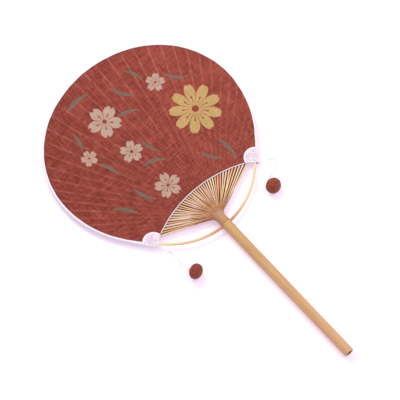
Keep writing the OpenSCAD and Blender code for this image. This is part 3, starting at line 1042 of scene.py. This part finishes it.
def handle_look():
    look, shade, fibre = bamboo("handle_bamboo", colour(196, 146, 92), colour(240, 198, 142), 0.7, 0.5,
                                Roughness=0.42, Specular_IOR_Level=0.45, Coat_Weight=0.12,
                                Coat_Roughness=0.3)
    ring = FOOT_Y - RING_DROP
    _, true_y = look.x_and_y(look.here())
    y = look.add(true_y, look.fit(look.noise(look.here(), 0.35), 0.3, 0.7, -0.25, 0.25))
    rosy = look.fit(y, -70.0, -205.0, 0.0, 0.45)
    shade = look.mix(rosy, shade, colour(232, 178, 138))
    dull = look.fit(y, -60.0, -18.0, 0.0, 0.5)
    shade = look.mix(dull, shade, colour(202, 162, 104))
    neck = look.fit(y, ring, ring + 3, 0.0, 0.75)
    shade = look.mix(neck, shade, colour(162, 104, 66))
    # Painted highlight: pale streaks along the fibres from the node ring up, standing for light on the
    # ring's ridge.
    pale = look.mul(look.fit(y, ring, ring + 1.5), look.fit(fibre, 0.42, 0.6))
    shade = look.mix(look.mul(pale, 0.45), shade, colour(240, 196, 146))
    scar = look.mul(band(look, y, ring + 1.05, 0.5), 0.85)
    scar = look.most(scar, look.mul(band(look, y, ring - 1.05, 0.5), 0.95))
    shade = look.mix(scar, shade, colour(132, 70, 36))
    butt = FOOT_Y - HANDLE_LEN
    shade = look.mix(look.fit(true_y, butt + 0.12, butt + 0.04, 0.0, 0.7), shade, colour(222, 190, 150))
    # Painted shade: the splits between the ribs on the head, and the hollow's inside, are darkened where
    # shade falls.
    split = look.math("COSINE", look.mul(look.kept("count", 2), 2 * math.pi))
    split = look.mul(look.fit(split, -0.35, -0.85), look.kept("depth", 2))
    shade = look.mix(look.most(split, look.kept("dark", 2)), shade, colour(96, 52, 30))
    return look.finish(shade, fibre, 0.00005, look.fit(fibre, 0.3, 0.7, 0.38, 0.52))


def rib_look():
    """Split bamboo, browner near the head, with painted shade on the ribs' inner faces."""
    look, shade, fibre = bamboo("rib_bamboo", colour(240, 150, 94), colour(255, 233, 190), 0.3, 0.3,
                                Roughness=0.6, Specular_IOR_Level=0.12)
    far = look.length(look.scaled(from_fan_point(look, look.here()), (1, 1, 0)))
    shade = look.mix(look.fit(far, 34.0, 9.0, 0.0, 0.85), shade, colour(196, 124, 76))
    # Painted shade: the ribs' inner faces are darkened so the gaps between the ribs look shaded.
    shade = look.mix(look.mul(look.kept("inner", 2), 0.92), shade, colour(104, 40, 14))
    return look.finish(shade, fibre, 0.00006, look.fit(fibre, 0.3, 0.7, 0.42, 0.6))


def paper_look():
    """White handmade paper with faint fibres."""
    look = Look("white_paper", Roughness=0.9, Specular_IOR_Level=0.2)
    p = look.here()
    cloud = look.noise(p, 0.45, 3.0, 0.6)
    hairs = look.noise(look.scaled(p, (2.6, 0.7, 2.6)), 1.0, 3.0, 0.7)
    tone = look.add(look.fit(cloud, 0.36, 0.64, 0.0, 0.9), look.fit(hairs, 0.3, 0.7, -0.4, 0.4))
    shade = look.mix(tone, colour(224, 202, 216), colour(255, 243, 251))
    shade = look.mix(look.mul(look.kept("rim", 2), 0.85), shade, colour(255, 249, 254))
    return look.finish(shade, look.add(cloud, look.mul(hairs, 0.5)), 0.00012)


def cord_look(name, base):
    """White cotton yarn with fine hairs along its strands."""
    look = Look(name, Roughness=0.7, Specular_IOR_Level=0.5, Sheen_Weight=0.35)
    grain = look.kept("grain", 1)
    hairs = look.noise(look.scaled(grain, (3.5, 1.1, 3.5)), 1.0, 3.0, 0.65)
    shade = look.mix(look.fit(hairs, 0.3, 0.7), colour(*(c - 12 for c in base)), colour(*base))
    return look.finish(shade, hairs, 0.00008)


def ball_look():
    """Crinkled red cloth, with painted shade down in its gathers."""
    look = Look("ball_cloth", Roughness=0.85, Sheen_Weight=0.25, Specular_IOR_Level=0.25)
    grain = look.kept("grain", 1)
    crinkle = look.noise(grain, 1.4, 4.0, 0.75)
    cells = look.put("TexVoronoi", {"Vector": grain, "Scale": 1.6}, feature="SMOOTH_F1")
    tone = look.add(look.fit(crinkle, 0.38, 0.62, -0.1, 0.95), look.fit(cells, 0.1, 0.6, 0.2, -0.35))
    shade = look.mix(tone, colour(92, 28, 18), colour(218, 108, 80))
    # Painted shade: darker down in the valleys of the gathered pleats.
    shade = look.mix(look.mul(look.kept("gather", 2), 0.6), shade, colour(84, 30, 22))
    height = look.add(crinkle, look.mul(cells, -0.5))
    return look.finish(shade, height, 0.00035)


# Floor and light

def seen_share(look):
    """1 where the eye looks straight, or through a mirror or glass, and 0 for light itself."""
    rays = look.put("LightPath").node.outputs
    return look.most(rays["Is Camera Ray"], look.most(rays["Is Glossy Ray"], rays["Is Transmission Ray"]))


def add_floor():
    """A pale floor that shows white, with a soft lilac shade where the object's shadow falls."""
    look = Look("floor", Roughness=1.0, Specular_IOR_Level=0.0)
    grit = look.noise(look.here(), 0.2, 2.0)
    shade = look.mix(grit, colour(243, 243, 240), colour(246, 246, 243))
    look.finish(shade)
    lit = look.put("Emission", [colour(162, 138, 169), seen_share(look)])
    both = look.put("AddShader", [look.shader.outputs[0], lit])
    look.tree.links.new(both, look.tree.nodes["Material Output"].inputs["Surface"])
    half = 4.0
    corners = [(-half, -half, 0), (half, -half, 0), (half, half, 0), (-half, half, 0)]
    floor = make_piece("floor", corners, [(0, 1, 2, 3)], look.material)


def add_world():
    world = bpy.data.worlds.new("soft_room")
    world.use_nodes = True
    bpy.context.scene.world = world
    look = Look("soft_room", world.node_tree)
    seen = seen_share(look)
    room = look.put("Background", [colour(250, 246, 252), 0.66])
    white = look.put("Background", [(1, 1, 1, 1), 1.0])
    both = look.put("MixShader", [seen, room, white])
    look.tree.links.new(both, look.tree.nodes["World Output"].inputs["Surface"])


def add_lamp(name, across, rise, far, size, power):
    """A soft square lamp, in degrees and metres. across turns it from the picture's top to its right."""
    turn, rise = AZIMUTH - math.radians(across), math.radians(rise)
    way = Vector((-math.sin(turn) * math.cos(rise), math.cos(turn) * math.cos(rise), math.sin(rise)))
    data = bpy.data.lights.new(name, "AREA")
    data.shape, data.size, data.energy = "SQUARE", size, power
    add_aimed(data, way, far)


def add_light():
    add_world()
    add_lamp("key", across=-30, rise=47, far=1.6, size=0.6, power=10.3)
    add_lamp("fill", across=75, rise=50, far=1.5, size=1.0, power=4.5)


def main():
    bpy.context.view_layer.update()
    add_camera()
    white_cord, red_ball = cord_look("white_cord", (255, 251, 255)), ball_look()
    add_pendant(-1, LEFT_ROUTE, LEFT_POLE, white_cord, red_ball)
    add_pendant(1, RIGHT_ROUTE, RIGHT_POLE, white_cord, red_ball)
    for side in (-1, 1):
        add_loop(side, white_cord)
    add_handle(handle_look())
    split_bamboo = rib_look()
    add_all_ribs(split_bamboo)
    add_bow(split_bamboo)
    for side in (1, -1):
        add_cover(side)
    yarn = cord_look("thread", (255, 252, 255))
    for side in (1, -1):
        add_thread(side, yarn)
    paper = paper_look()
    add_rim(paper)
    for side in (-1, 1):
        add_ear(side, paper)
    add_floor()
    add_light()
    bpy.context.scene.view_settings.view_transform = "Standard"


main()
